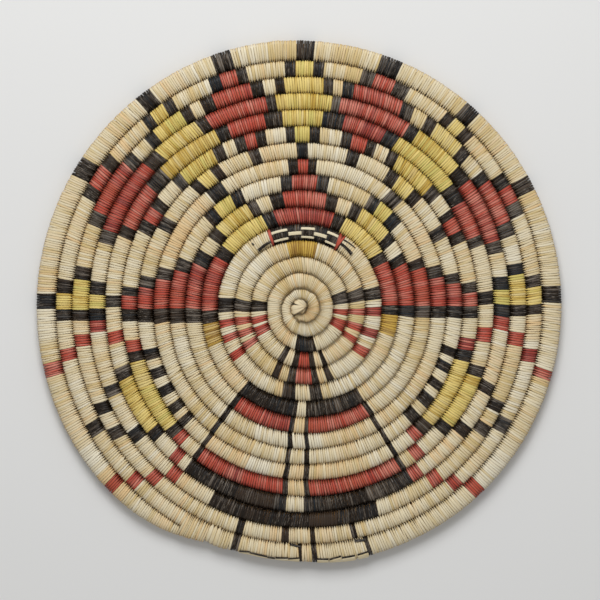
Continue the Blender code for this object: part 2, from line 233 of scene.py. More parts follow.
# How much the broad streaks count for beside the fine fibres, in tone and in tint
BROAD_TONE = 1.6
BROAD_TINT = 0.6

# How far from its middle a splint's edge begins and ends, where shade between the splints is
# painted, and how deep in the groove the painted shade is at its full strength
EDGE_ENDS = (0.00045, 0.00076)
FULL_SHADE_DEPTH = 1.05

# How the fibres change a leaf's roughness, up and down, and how deep the fibres are
FIBRE_ENDS = (0.3, 0.7)
FIBRE_ROUGHNESS = 0.08
FIBRE_DEPTH = 0.00008

# The grass: its changes to a metre, its darkest and palest share of its colour, and its depth
GRASS_GRAIN = 2600
GRASS_SHADES = (0.6, 1.7)
GRASS_DEPTH = 0.0002

# The chart of dyes. A course is read with the coil, anticlockwise from below the figure's
# feet. Each run is the letter of its dye and the angle in degrees where it ends, and a last
# run of natural reaches the end of the course. The two courses at the eye are natural all round.
CHART = {
    1: """N-106.3 K-104.6 N-90.7 K-90 N-87.7 K-86.5 N-75.1 K-74.2 N-48.1 R-45.3 N-17.1 R-14.9 N0.4
        K4.2 N26.3 K29.8 N47.1 K50.8 N67.4 K72.2 N87.2 K91.2 N105.8 K110.2 N125.2 K128.8 N145.9
        K150.4 N177.6 K181 N193 R196.1 N222.4 R224.9""",
    2: """N-106.3 K-104.5 N-95 K-93.2 N-87.9 K-86.7 N-77.8 K-76.5 N-50.8 R-48 N-32.7 K-29 N-14.2
        R-10.9 N-2.4 K0 Y4.3 K7.2 N22.2 K25.6 R29.9 K33.3 N44.6 K47.3 Y50.6 K53 N63.4 K67.1 R72.2
        K75.4 N84.6 K87.2 Y91.5 K94.1 N103.3 K105.8 R109.9 K112.7 N122.3 K124.9 Y128.6 K131 N142
        K145.2 R150.6 K153.7 N174 K177.3 Y181.2 K183.9 N190.6 R193.5 N209.2 K212.5 N225.1 R227.9""",
    3: """K-69.7 N-54.3 R-51 N-36 K-32.9 N-28.9 K-25.9 N-10.9 R-7.3 N-3.1 K-0.1 Y7.9 K10.8 N18.1
        K21.8 R33.5 K36.4 N41.5 K44.5 Y53 K56 N59.8 K63.1 R76.3 K79.3 N81.8 K84.3 Y94.5 K96.9 N100
        K103.2 R113.4 K116.7 N119.6 K122.3 Y130.7 K133.5 N138.2 K141.5 R155.6 K159.3 N170.2 K173.6
        Y181.4 K184.2 N187.7 R190.8 N205.9 K209 N213 K216.1 N228 R231.1""",
    4: """K-94.5 N-89.4 K-57.8 R-54.3 N-39.5 K-36.1 N-25.9 K-22.6 N-7.3 R-3.4 K0 Y4.2 K7.9 N14.7
        K18.1 R36.6 K41.3 Y55.9 K59 R79.2 K81.5 Y97.2 K99.9 R117.1 K120.1 Y133.4 K138.1 R159.1
        K162.8 N173.6 K177.3 Y181.1 K184.4 R187.7 N202.8 K205.9 N216.4 K219.9 N231.4 R234.7 N245
        K250""",
    5: """R-96 K-94.3 N-89.3 K-87.7 R-59 K-57.4 N-54 R-50.4 N-42.6 K-39.2 Y-22.4 K-19.1 N-11.6
        R-7.1 N0 K4 N18.2 K21.3 R32.7 K38.7 Y59.8 K64.1 R77.1 K83.6 Y95.9 K101.3 R112.7 K116.6
        Y136.2 K142.4 R156 K159.4 N177.3 K180.8 N188.1 R191.8 N199 K202.8 Y219.7 K223 N229 R232.2
        N234.7 K250""",
    6: """N-96.1 K-94.3 N-89.3 K-87.5 N-58.8 K-57.2 N-50.6 R-47.1 K-42.9 Y-19.3 K-15.5 R-11.4 N-4.6
        K-0.6 R4 K7.5 N21.2 K24.9 R29.8 K32.5 N38.3 K42.2 Y56.6 K60.1 N64.6 K67.9 R73.1 K76.6
        N83.9 K87.3 Y92.3 K95.3 N102 K105.4 R109.1 K112.6 N116.6 K120.3 Y133 K136.4 N143.5 K147.1
        R151.7 K155.7 N174.2 K177.1 R181.6 K185.6 N191.8 R195.7 K199 Y223 K226.1 R229.3 N234.3
        K236 R250""",
    7: """N-96 K-94.3 N-89 K-87.2 N-58.8 K-57.1 N-47.2 K-43 N-39.6 K-35.1 N-32.2 K-28.9 N-25.3
        K-21.6 N-19.2 K-15.9 N-5 K-0.6 R7.9 K11.6 N25 K29.6 N41.5 K45.6 Y52.5 K56.8 N68.6 K73.1
        N87.7 K91.8 N105.4 K109.3 N120.6 K124.1 Y129.6 K133.1 N147.2 K151.9 N169.7 K173.9 R181.5
        K186.5 N196.2 K200.1 N203.5 K207.2 N210.4 K213.9 N217.4 K220.8 N223.2 K226.1 N234.3
        K235.9""",
    8: """N-95.9 K-93.9 N-88.7 K-87 N-59 K-57 N-5.6 K-0.7 R11.2 K16.2 N46 K52.3 N83.9 K87.3 R91.6
        K95.5 N123.4 K130.4 N165.1 K169.8 R181.7 K187.5 N234 K236""",
    9: """R-95.7 K-93.5 N-88.6 K-86.9 R-58.6 K-56.4 N-6.2 K-0.7 R16.9 K21.5 N39.5 K45.2 Y52.1
        K57.5 N77.5 K82.9 R94.6 K99.7 N118.2 K123.6 Y132.5 K138.2 N159 K164.7 R181.8 K188.5
        N234.1 K236.4""",
    10: """K-92.5 N-87.6 K-57 N-6.6 K-0.6 R21.5 K26.9 N33.7 K39 Y57.3 K63 N70.6 K76.8 R99.8
        K106.6 N113.6 K118.7 Y138.1 K144 N151.8 K159.2 R182.2 K189.6 N234.3 K237 R250""",
    11: """N-102.5 K-94.1 N-84.8 K-77.3 N-19.6 O-6.6 K-0.5 R26.9 K33.5 Y62.8 K69.9 R106.8 K114
        Y143.5 K150.8 R183.8 K191.4 O204.8 N234.8 K250""",
    12: """K-107.8 N-100.7 K-94.6 R-82.2 K-77.3 N-71.6 K-66.8 N-41.2 R-34.1 N-25.7 R-19 N-9.1
        R-2.1 N3.8 K13.3 N57 K113.8 N175.1 K185.7 N191 R196.6 N201.8 R207.1 N214.5 R220.2""",
    13: """K-105.4 N-98.7 K-92.8 R-82.4 K-77.1 N-70.7 K-66.6 N-37.2 R-31.1 N-25.9 R-18.5 N-10.6
        R-4.2 N3 K15.5 N75 O104 N175.6 K186.7 N191.7 R198.7 N203 R209.1 N213.5 R219.8 N247.1
        K250""",
    14: """N-98.5 K-71.6 N-34.3 R-20.4 N-14.2 R-6.4 N1 K17.5 N175 K188.7 N194.6 R203.2 N206.5
        R217.1 N247.3 K250""",
}

# Places on the coil are given as a bearing from the plaque's origin in degrees, and a share
# across the coil, from -1 in the inner groove to 1 in the outer one.

# The head-band: where its pale splints run, and in how many pieces they bend. The ramps on which
# they rise over the sewing, as ramps to a turn and the share of one that comes early, how far
# they are sunk elsewhere, in splints, and how much higher than a stitch a tie is. Then the width
# of each splint, how far across it lies at both ends, and where it shows over the black sewing.
BAND_COURSE = 12
BAND_ENDS = (46.5, 128.5)
BAND_PIECES = 160
BAND_RAMPS = 450
BAND_RAMP_EARLY = 0.6
BAND_SUNK = 3.4
TIE_LIFT = 1.09
BAND_LINES = {
    "outer": (0.0014, 0.50, 0.30, ((61.2, 70.3), (79.8, 90.4), (100.8, 113.4))),
    "middle": (0.0020, -0.12, -0.16, ((69.6, 80.2), (90.1, 100.8))),
    "inner": (0.0012, -0.62, -0.65, ((60.2, 70.1), (79.7, 90.5), (101.3, 113.6))),
}

# The red splints of each tie: bearing, width in degrees, and lean
BAND_TIES = {"right": ((59.6, 2.8, 0.28), (58.3, 1.8, -0.65)), "left": ((114.7, 2.6, -0.27),)}

# Loose black splints beside the ties: in how many pieces they bend, and for each the (bearing,
# across) of both ends, its width, and the share of it that is lost towards the last end
BLACK_END_PIECES = 24
BAND_BLACK_ENDS = {
    "left": (128.9, -0.66, 115.8, -0.46, 0.0017, 0.35),
    "right": (57.4, -0.08, 45.2, -0.22, 0.0016, -0.35),
    "thin": (56.8, 0.48, 46.1, 0.56, 0.0008, 0.6),
    "knot": (129.6, 0.40, 128.3, 0.28, 0.0015, 0.2),
}

# The boots on the rim: (bearing, across) of both ends of each step of the soles with how far
# across the pale splint outside it reaches, and the ends of the line round each toe
SOLE_STEPS = {
    "left": (
        (-104.2, 0.87, -101.9, 0.66, 1.06),
        (-101.8, 0.72, -97.8, 0.76, 1.00),
        (-97.7, 0.84, -96.0, 0.84, 0.98),
        (-95.9, 0.76, -93.1, 0.64, 1.00),
        (-93.0, 0.72, -90.5, 0.54, 0.96),
    ),
    "right": (
        (-86.5, 0.60, -84.0, 0.66, 1.02),
        (-83.8, 0.70, -81.1, 0.43, 1.06),
        (-81.0, 0.62, -78.0, 0.57, 1.08),
        (-77.4, 0.55, -75.0, 0.48, 1.06),
    ),
}
TOES = {"left": (-92.9, -0.95, -90.3, -0.70), "right": (-77.4, -0.84, -75.0, -0.71)}

# The tones of the splints that are laid along the coil, from lowest to highest, how far their
# tint goes to each side, how wide a stitch is that has their grain, in how many pieces they bend,
# and the share of their width and depth that a rounded edge takes
PALE_TONES = (0.1, 0.4)
BAND_TONES = (-0.4, -0.1)
BLACK_END_TONES = (0.0, 0.2)
SOLE_TONES = (-0.1, 0.1)
STRIP_TINT = 0.3
STRIP_GRAIN_WIDTH = 0.0011
STRIP_PIECES = 16
STRIP_EDGE_SHARE = 0.3


# What a user would change

def length_setting(name, description, default):
    return bpy.props.FloatProperty(
        name=name, description=description, default=default, unit="LENGTH"
    )


def share_setting(name, description, default):
    return bpy.props.FloatProperty(
        name=name, description=description, default=default, subtype="FACTOR"
    )


def power_setting(name, description, default):
    return bpy.props.FloatProperty(
        name=name, description=description, default=default, unit="POWER"
    )


def colour_setting(name, description, default):
    return bpy.props.FloatVectorProperty(
        name=name, description=description, subtype="COLOR", size=3, default=default
    )


class PlaqueSizes(bpy.types.PropertyGroup):
    """Sizes of the splints."""

    stitch_pitch: length_setting(
        "Stitch pitch", "From one stitch to the next, along the outside of the coil", 0.00155
    )
    eye_spread: share_setting(
        "Spread at the eye", "How much wider the pitch is after one turn than at the rim", 0.35
    )
    splint_depth: length_setting(
        "Splint depth", "Thickness of a wrapped splint at its crown", 0.0007
    )
    fill: share_setting("Fill", "Share of the pitch that a stitch takes up", 0.98)
    pinch: share_setting(
        "Inner pinch", "Share of a stitch's width that is left at its inner end", 0.55
    )
    outer_pinch: share_setting(
        "Outer pinch", "Share of a stitch's width that is left at its outer end", 0.85
    )
    rim_pinch: share_setting(
        "Rim pinch", "Share of a stitch's width that is left at the rim", 0.97
    )
    bite: length_setting("Bite", "How far a stitch enters the course inside", 0.0004)
    beak: length_setting(
        "Beak", "How much further the middle of a stitch's tip reaches over that course", 0.0007
    )
    strip_depth: length_setting(
        "Strip depth", "Thickness of a splint that is laid along the coil", 0.0005
    )
    sole_width: length_setting("Sole width", "Width of the black splint under a boot", 0.0008)
    toe_width: length_setting("Toe width", "Width of the black splint over a boot's toe", 0.001)


class PlaqueColours(bpy.types.PropertyGroup):
    """Colours of the splints and of the grass."""

    natural: colour_setting("Natural", "Pale leaf", (0.71, 0.62, 0.425))
    straw: colour_setting("Straw", "Leaf that has aged", (0.58, 0.44, 0.20))
    grey: colour_setting("Grey", "Leaf that has greyed", (0.74, 0.68, 0.53))
    rose: colour_setting("Rose", "Leaf with a rosy tint", (0.70, 0.50, 0.26))
    black: colour_setting("Black", "Black leaf", (0.010, 0.006, 0.003))
    black_worn: colour_setting("Worn black", "Black leaf, rubbed", (0.18, 0.152, 0.122))
    black_cool: colour_setting("Cool black", "Black leaf, cooler", (0.012, 0.015, 0.018))
    black_brown: colour_setting("Brown black", "Black leaf, browner", (0.046, 0.031, 0.021))
    red: colour_setting("Red", "Red leaf", (0.45, 0.066, 0.038))
    red_pale: colour_setting("Pale red", "Red leaf, thinly dyed", (0.60, 0.215, 0.155))
    red_dark: colour_setting("Dark red", "Red leaf, deeply dyed", (0.24, 0.036, 0.028))
    red_orange: colour_setting("Orange red", "Red leaf with an orange tint", (0.42, 0.080, 0.042))
    yellow: colour_setting("Yellow", "Yellow leaf", (0.73, 0.57, 0.19))
    gold: colour_setting("Gold", "Yellow leaf, deeply dyed", (0.47, 0.30, 0.05))
    lemon: colour_setting("Lemon", "Yellow leaf with a green tint", (0.57, 0.49, 0.14))
    cream: colour_setting("Cream", "Yellow leaf, thinly dyed", (0.67, 0.55, 0.26))
    ochre: colour_setting("Ochre", "Ochre leaf", (0.56, 0.37, 0.075))
    ochre_dark: colour_setting("Dark ochre", "Ochre leaf, deeply dyed", (0.27, 0.15, 0.03))
    grass: colour_setting("Grass", "Grass of the bundle", (0.21, 0.105, 0.028))


class PlaqueStage(bpy.types.PropertyGroup):
    """The floor, the lamps and the camera."""

    picture_width: length_setting("Picture width", "Width of the picture at the face", 0.377)
    camera_height: length_setting("Camera height", "From the floor to the camera", 1.5)
    floor_size: length_setting("Floor size", "Side of the floor", 6.0)
    floor: colour_setting("Floor", "Colour of the floor", (0.74, 0.74, 0.73))
    key_power: power_setting("Key lamp", "Power of the lamp above the figure's head", 16.5)
    fill_power: power_setting("Fill lamp", "Power of the lamp at the figure's feet", 1.6)
    sky: bpy.props.FloatProperty(
        name="Sky", description="Strength of the even light from all round", default=0.35
    )


# Shader maths

class Value:
    """The output of a shader node. Sums on values add the Math nodes that work them out."""

    def __init__(self, finish, socket):
        self.finish = finish
        self.socket = socket

    def maths(self, operation, one, two):
        return self.finish.node("ShaderNodeMath", {"operation": operation}, {0: one, 1: two})

    def __add__(self, other):
        return self.maths("ADD", self, other)

    def __radd__(self, other):
        return self.maths("ADD", other, self)

    def __sub__(self, other):
        return self.maths("SUBTRACT", self, other)

    def __rsub__(self, other):
        return self.maths("SUBTRACT", other, self)

    def __mul__(self, other):
        return self.maths("MULTIPLY", self, other)

    def __rmul__(self, other):
        return self.maths("MULTIPLY", other, self)


class Finish:
    """The nodes that give their owner, a new material or the sky, its look."""

    def __init__(self, name, world=None):
        self.owner = world or bpy.data.materials.new(name)
        self.owner.use_nodes = True
        self.tree = self.owner.node_tree
        self.shader = self.tree.nodes["Background" if world else "Principled BSDF"]

    def connect(self, socket, value):
        if isinstance(value, Value):
            self.tree.links.new(value.socket, socket)
        else:
            socket.default_value = value

    def node(self, kind, settings=None, sockets=None, output=0):
        """Adds a node with these settings, then fills its sockets with numbers or values."""
        made = self.tree.nodes.new(kind)
        for name, setting in (settings or {}).items():
            setattr(made, name, setting)
        for name, value in (sockets or {}).items():
            self.connect(made.inputs[name], value)
        return Value(self, made.outputs[output])

    def attribute(self, name, output="Fac"):
        return self.node("ShaderNodeAttribute", {"attribute_name": name}, output=output)

    def parts(self, vector):
        """The X, Y and Z of a vector."""
        made = self.node("ShaderNodeSeparateXYZ", sockets={0: vector})
        return [Value(self, socket) for socket in made.socket.node.outputs]

    def size(self, value):
        """A value without its sign."""
        return self.node("ShaderNodeMath", {"operation": "ABSOLUTE"}, {0: value})

    def vector(self, x, y, z):
        return self.node("ShaderNodeCombineXYZ", sockets={0: x, 1: y, 2: z})

    def noise(self, vector, scale=1.0, detail=2.0, roughness=0.5):
        sockets = {"Vector": vector, "Scale": scale, "Detail": detail, "Roughness": roughness}
        return self.node("ShaderNodeTexNoise", sockets=sockets)

    def between(self, value, low, high, start=0.0, stop=1.0):
        """The value's place between low and high, as a smooth step from start to stop."""
        settings = {"interpolation_type": "SMOOTHSTEP"}
        sockets = {0: value, 1: low, 2: high, 3: start, 4: stop}
        return self.node("ShaderNodeMapRange", settings, sockets)

    def mix(self, share, one, two, blend="MIX"):
        """A colour between two colours."""
        settings = {"data_type": "RGBA", "blend_type": blend}
        return self.node("ShaderNodeMix", settings, {0: share, 6: one, 7: two}, output=2)

    def seen(self):
        """1 for what the camera sees by itself, in a gloss or through a glass, 0 for the rest."""
        camera = self.node("ShaderNodeLightPath", output="Is Camera Ray")
        glossy = self.node("ShaderNodeLightPath", output="Is Glossy Ray")
        through = self.node("ShaderNodeLightPath", output="Is Transmission Ray")
        return camera + glossy + through

    def show(self, **sockets):
        """Fills the shader's own sockets."""
        for name, value in sockets.items():
            self.connect(self.shader.inputs[name.replace("_", " ")], value)

    def bump(self, height, distance):
        sockets = {"Height": height, "Distance": distance, "Strength": 1.0}
        self.show(Normal=self.node("ShaderNodeBump", sockets=sockets))


def opaque(colour, scale=1.0):
    return (*(scale * part for part in colour), 1.0)


# The finishes

def leaf_finish(name, colours, shade_colour, shade_from, shade_share, edge_share, roughness, gloss,
                streak, scratch_and_glint):
    """A split leaf. The splint's own tone takes it from the first of its colours to the second,
    and its tint to the third or the fourth. Streaks and scratches run along it; the scratches are
    rubbed wear and painted glints. Shade is painted on it where it dips into the grooves, from a
    share of the way across the coil, and at its edges, between it and the next splint."""
    if name in bpy.data.materials:
        return bpy.data.materials[name]
    settings = bpy.context.scene.plaque_colours
    plain, other, cool, warm = (opaque(getattr(settings, colour)) for colour in colours.split())
    finish = Finish(name)
    along, across, up = finish.parts(finish.attribute("fibre", "Vector"))
    tone = finish.attribute("tone")
    tint = finish.attribute("tint")
    depth = finish.attribute("groove")

    def grain(changes, detail, rough=0.5):
        long, wide = changes
        place = finish.vector(along * long, across * wide, up * long)
        return finish.noise(place, detail=detail, roughness=rough)

    fine = grain(FINE_GRAIN, 3.0, 0.6)
    broad = grain(BROAD_GRAIN, 1.0)
    # Pale patches along the splint: rubbed wear and painted glints
    rubbed_and_glints = finish.between(grain(RUBBED_GLINT_GRAIN, 2.0), *RUBBED_GLINT_ENDS)
    streaks = fine + broad * BROAD_TONE - (1 + BROAD_TONE) / 2
    share = finish.between(tone + streaks * streak + rubbed_and_glints * scratch_and_glint, 0.0, 1.0)
    tint = tint + (broad - 0.5) * BROAD_TINT
    colour = finish.mix(share, plain, other)
    colour = finish.mix(finish.between(tint, 0.0, -1.0), colour, cool)
    colour = finish.mix(finish.between(tint, 0.0, 1.0), colour, warm)
    # The edges of the splint, where shade between it and the next splint is painted
    edge = finish.between(finish.size(across), *EDGE_ENDS)
    # Painted shade in the groove and at the splint's edges: the colour is multiplied there by the
    # shade colour
    painted_shade = finish.between(depth, shade_from, FULL_SHADE_DEPTH) * shade_share + edge * edge_share
    colour = finish.mix(painted_shade, colour, finish.mix(1.0, colour, opaque(shade_colour), "MULTIPLY"))
    rough = finish.between(
        fine, *FIBRE_ENDS, roughness + FIBRE_ROUGHNESS, roughness - FIBRE_ROUGHNESS
    )
    finish.show(Base_Color=colour, Roughness=rough, Specular_IOR_Level=gloss)
    finish.bump(fine, FIBRE_DEPTH)
    return finish.owner


def leaves():
    """The five leaves in the order of the dyes' letters, each made once."""
    # Each leaf's shade colour is multiplied in where shade is painted in its grooves and between
    # its splints
    return [
        leaf_finish(
            "natural_leaf", "natural straw grey rose", shade_colour=(0.34, 0.18, 0.04),
            shade_from=0.66, shade_share=0.92, edge_share=0.32,
            roughness=0.58, gloss=0.22, streak=0.75, scratch_and_glint=0.2,
        ),
        leaf_finish(
            "black_leaf", "black black_worn black_cool black_brown", shade_colour=(0.35, 0.28, 0.22),
            shade_from=0.50, shade_share=0.85, edge_share=0.90,
            roughness=0.36, gloss=0.12, streak=1.3, scratch_and_glint=0.8,
        ),
        # On the red leaf the shade is painted from near the middle of the coil, so that each course
        # looks rounder
        leaf_finish(
            "red_leaf", "red red_pale red_dark red_orange", shade_colour=(0.20, 0.13, 0.11),
            shade_from=0.22, shade_share=0.85, edge_share=0.95,
            roughness=0.48, gloss=0.22, streak=1.5, scratch_and_glint=0.35,
        ),
        leaf_finish(
            "yellow_leaf", "yellow gold lemon cream", shade_colour=(0.34, 0.20, 0.05),
            shade_from=0.70, shade_share=0.85, edge_share=0.42,
            roughness=0.55, gloss=0.22, streak=1.2, scratch_and_glint=0.3,
        ),
        leaf_finish(
            "ochre_leaf", "ochre ochre_dark gold straw", shade_colour=(0.58, 0.38, 0.16),
            shade_from=0.70, shade_share=0.65, edge_share=0.90,
            roughness=0.55, gloss=0.22, streak=1.3, scratch_and_glint=0.35,
        ),
    ]


def grass_finish():
    """Fine brown grass stems, seen in the gaps between the stitches."""
    grass = bpy.context.scene.plaque_colours.grass
    finish = Finish("grass")
    place = finish.node("ShaderNodeTexCoord", output="Object")
    speckle = finish.noise(place, GRASS_GRAIN, 3.0)
    dark, pale = (opaque(grass, shade) for shade in GRASS_SHADES)
    finish.show(Base_Color=finish.mix(speckle, dark, pale), Roughness=0.8)
    finish.bump(speckle, GRASS_DEPTH)
    return finish.owner


# The coil's path

def eased(share):
    share = np.clip(share, 0, 1)
    return share * share * (3 - 2 * share)


def turn_at(course, angle):
    """Turns made by the coil's outer edge at this angle about its eye, counted from the eye."""
    return COURSES + 1 - course + angle / 360


def turn_towards(course, bearing):
    """Turns made where the course lies at this bearing from the plaque's origin."""
    turn = turn_at(course, bearing)
    around = math.radians(bearing)
    aside = eye_at(turn) @ (-math.sin(around), math.cos(around))
    radius = (radius_at(turn) + radius_at(turn - 1)) / 2
    return turn - math.asin(aside / radius) / (2 * math.pi)


def eye_at(turn):
    """The middle of the coil, which drifts as the coil grows."""
    drift = np.asarray(turn) / COURSES
    sway = np.sin(math.pi * np.clip(drift, 0, 1))
    x = EYE_X + EYE_DRIFT_X * drift + SWAY[0] * sway
    y = EYE_Y + EYE_DRIFT_Y * drift + SWAY[1] * sway
    return np.stack((x, y), axis=-1)


def radius_at(turn):
    """The radius of the groove after this many turns, before the oval is added."""
    radius = EYE_RADIUS + COIL_PITCH * turn - EYE_DRAW * (1 - np.exp(-turn / EYE_EASE_TURNS))
    return radius + RIM_EXTRA * eased((turn - turn_at(1, FIRST_ANGLE)) / RIM_EASE_TURNS)


def groove(turn):
    """The groove that runs outside the coil, after this many turns."""
    around = 2 * math.pi * turn
    oval = OVAL_REACH * eased(turn / OVAL_EASE_TURNS) * np.cos(2 * (around - OVAL_AXIS))
    grown = eased((turn - WAVES_FROM) / (WAVES_FULL - WAVES_FROM))
    wave = WAVE_REACH * np.cos(WAVES * (around - WAVE_AXIS)) * grown
    ripple = RIPPLE_REACH * sum(np.sin(rate * turn + shift) for rate, shift in RIPPLES)
    radius = radius_at(turn) + oval + (wave + ripple) * eased((COURSES - turn) / LAST_TURNS)
    for middle, wide, reach in SWELLS:
        radius = radius + reach * np.exp(-(((turn - middle) / wide) ** 2))
    return eye_at(turn) + radius[..., None] * np.stack((np.cos(around), np.sin(around)), axis=-1)


def coil_edges(turn):
    """The coil's inner and outer edge."""
    inner = groove(turn - 1)
    start, stop = turn_at(1, TAPER_FROM), turn_at(1, FINISH_TO)
    along = np.clip((turn - start) / (stop - start), 0, 1)
    left = 1 - (1 - TIP_SHARE) * along ** TAPER_POWER
    return inner, inner + (groove(turn) - inner) * left[..., None]


def between_edges(inner, outer, across, height):
    """Points of the coil. Across runs from -1 in the inner groove to 1 in the outer one, and
    height from -1 underneath to 1 on the face."""
    width = np.linalg.norm(outer - inner, axis=-1)
    rise = RISE * np.sqrt(np.minimum(1, width / COIL_PITCH))
    flat = inner + (outer - inner) * ((1 + across) / 2)[..., None]
    return np.concatenate((flat, np.maximum(0, rise * (1 + height))[..., None]), axis=-1)


def on_coil(turn, across, height):
    turn, across, height = np.broadcast_arrays(turn, across, height)
    return between_edges(*coil_edges(turn), across, height)


def dye_runs():
    """(dye's letter, turns where the run ends), from the eye to the rim."""
    runs = []
    for course in range(COURSES, 0, -1):
        words = CHART.get(course, "").split()
        runs += [(word[0], turn_towards(course, float(word[1:]))) for word in words]
        runs.append(("N", turn_towards(course, LAST_ANGLE)))
    return runs


# Modelling by hand

def start_object(name):
    """Takes over the primitive that was just added."""
    made = bpy.context.object
    made.name = made.data.name = name
    bpy.ops.object.transform_apply(location=True, rotation=True, scale=True)
    return made


def pick(test):
    """Selects the points of the mesh in edit mode whose place passes the test."""
    mesh = bpy.context.edit_object.data
    shape = bmesh.from_edit_mesh(mesh)
    for point in shape.verts:
        point.select_set(bool(test(point.co)))
    shape.select_flush_mode()
    bmesh.update_edit_mesh(mesh)


def resize(x=1.0, y=1.0, z=1.0):
    bpy.ops.transform.resize(value=(x, y, z), center_override=(0, 0, 0))


def move(x=0.0, z=0.0):
    bpy.ops.transform.translate(value=(x, 0, z))


class Pattern:
    """A mesh that was modelled once, to be copied along the coil. The object is used up."""

    def __init__(self, made):
        mesh = made.data
        self.points = np.array([point.co for point in mesh.vertices])
        self.faces = [tuple(face.vertices) for face in mesh.polygons]
        bpy.data.objects.remove(made)
        bpy.data.meshes.remove(mesh)

    def put_in_order(self):
        """Sorts the points by their place and the faces by their points. Cuts across a mesh
        leave them in an order that changes from run to run."""
        order = np.lexsort(np.round(self.points, 6).T)
        number = np.argsort(order)
        self.points = self.points[order]
        self.faces = sorted(tuple(number[list(face)].tolist()) for face in self.faces)


def model_stitch(outer_pinch=None):
    """One stitch: a splint bent into a closed loop round the Y axis, crowned across its width,
    squared as the coil is, blunt at its sides, and pinched to a beak where it enters the course
    inside."""
    sizes = bpy.context.scene.plaque_sizes
    half = sizes.splint_depth / 2
    bpy.ops.object.select_all(action="DESELECT")
    bpy.ops.mesh.primitive_torus_add(
        major_segments=LOOP_SIDES,
        minor_segments=WIDTH_SIDES,
        major_radius=REACH - half,
        minor_radius=half,
        rotation=(math.pi / 2, 0, 0),
    )
    made = start_object("stitch")
    bpy.ops.object.mode_set(mode="EDIT")
    bpy.ops.mesh.select_mode(type="VERT")
    bpy.ops.mesh.select_all(action="SELECT")
    depths = sizes.stitch_pitch / sizes.splint_depth
    resize(x=SNUG, y=depths / math.sin(2 * math.pi / WIDTH_SIDES), z=RISE / REACH)
    for wide, high, wider, higher in SQUARING:
        pick(lambda co: abs(co.x) > wide * REACH and abs(co.z) > high * RISE)
        resize(x=wider, z=higher)
    end, shoulder, upper = END_SHARE * REACH, SHOULDER_SHARE * REACH, UPPER_SHARE * RISE
    pick(lambda co: co.x > end)
    resize(y=outer_pinch or sizes.outer_pinch)
    pick(lambda co: co.x < -end)
    resize(y=sizes.pinch)
    move(x=-sizes.bite)
    pick(lambda co: co.x < -end and co.z > upper and abs(co.y) < NEAR)
    move(x=-sizes.beak, z=BEAK_RISE * sizes.beak)
    pick(lambda co: -end < co.x < -shoulder and co.z > 0 and abs(co.y) < NEAR)
    move(x=-SHOULDER_REACH * sizes.beak, z=SHOULDER_RISE * sizes.beak)
    bpy.ops.object.mode_set(mode="OBJECT")
    return Pattern(made)


def model_strip(pieces):
    """One flat splint, a unit long and wide and deep, with rounded edges, cut across into this
    many pieces so that it can bend."""
    bpy.ops.object.select_all(action="DESELECT")
    bpy.ops.mesh.primitive_cube_add(size=1, location=(0.5, 0, 0.5))
    made = start_object("strip")
    bpy.ops.object.mode_set(mode="EDIT")
    bpy.ops.mesh.select_mode(type="EDGE")
    bpy.ops.mesh.select_all(action="DESELECT")
    shape = bmesh.from_edit_mesh(made.data)
    for edge in shape.edges:
        way = edge.verts[1].co - edge.verts[0].co
        edge.select_set(abs(way.x) > 0.5 and edge.verts[0].co.z > 0.5)
    bmesh.update_edit_mesh(made.data)
    bpy.ops.mesh.bevel(offset=STRIP_EDGE_SHARE, segments=2)
    for i in range(1, pieces):
        bpy.ops.mesh.select_all(action="SELECT")
        bpy.ops.mesh.bisect(plane_co=(i / pieces, 0, 0), plane_no=(1, 0, 0))
    bpy.ops.object.mode_set(mode="OBJECT")
    strip = Pattern(made)
    strip.put_in_order()
    return strip


# Copying a pattern to its places

def make_piece(name, points, faces, finishes, nodes, fibre, values, finish_of_face=None):
    """One piece of the plaque from its points and faces, with what its leaf finish reads."""
    mesh = bpy.data.meshes.new(name)
    mesh.from_pydata(points.tolist(), [], faces)
    for finish in finishes:
        mesh.materials.append(finish)
    if finish_of_face is not None:
        mesh.polygons.foreach_set("material_index", finish_of_face.astype(np.int32))
    vectors = mesh.attributes.new("fibre", "FLOAT_VECTOR", "POINT")
    vectors.data.foreach_set("vector", np.ascontiguousarray(fibre, np.float32).ravel())
    for title, numbers in values.items():
        numbers = np.broadcast_to(numbers, fibre.shape[:-1])
        attribute = mesh.attributes.new(title, "FLOAT", "POINT")
        attribute.data.foreach_set("value", np.ascontiguousarray(numbers, np.float32).ravel())
    mesh.update()
    mesh.shade_smooth()
    mesh.set_sharp_from_angle(angle=SHARP_ANGLE)
    made = bpy.data.objects.new(name, mesh)
    bpy.context.scene.collection.objects.link(made)
    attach(made, "root")
    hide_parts(*nodes)


class Stitches:
    """Where a row of stitches goes, and how each one differs from the pattern."""

    def __init__(self, turn, span, dye, seed):
        chance = np.random.default_rng(seed)
        count = len(turn)
        self.turn = turn
        self.span = span
        self.dye = dye
        self.look = self.looks(chance, count)
        self.lean = sum(reach * np.sin(rate * turn + shift) for reach, rate, shift in LEAN_SWAYS)
        self.lean = self.lean + chance.normal(0, LEAN_SPREAD, count)
        self.reach = 1 - SHORTER_SHARE * chance.random(count)
        self.lift = 1 - LOWER_SHARE * chance.random(count)
        self.full = 1 - NARROWER_SHARE * chance.random(count) ** 2
        self.fibre = chance.uniform(-GRAIN_SHIFT, GRAIN_SHIFT, (count, 2))
        self.fade = chance.normal(0, FADE_SPREAD, count) + np.array(FADES)[dye]

    def looks(self, chance, count):
        """Tone and tint. The stitches of one leaf are much alike, and each differs a little
        from the next."""
        middle, spread = np.array(TONES)[self.dye].T
        looks = np.empty((count, 2))
        at = 0
        while at < count:
            length = int(chance.integers(*LEAF_STITCHES))
            looks[at:at + length] = chance.normal(0, LEAF_SPREADS)
            at += length
        own = chance.normal(0, (1, TINT_SPREAD), (count, 2))
        looks[:, 0] = middle + np.clip(looks[:, 0], *LEAF_TONES) + spread * own[:, 0]
        looks[:, 1] += own[:, 1]
        return looks


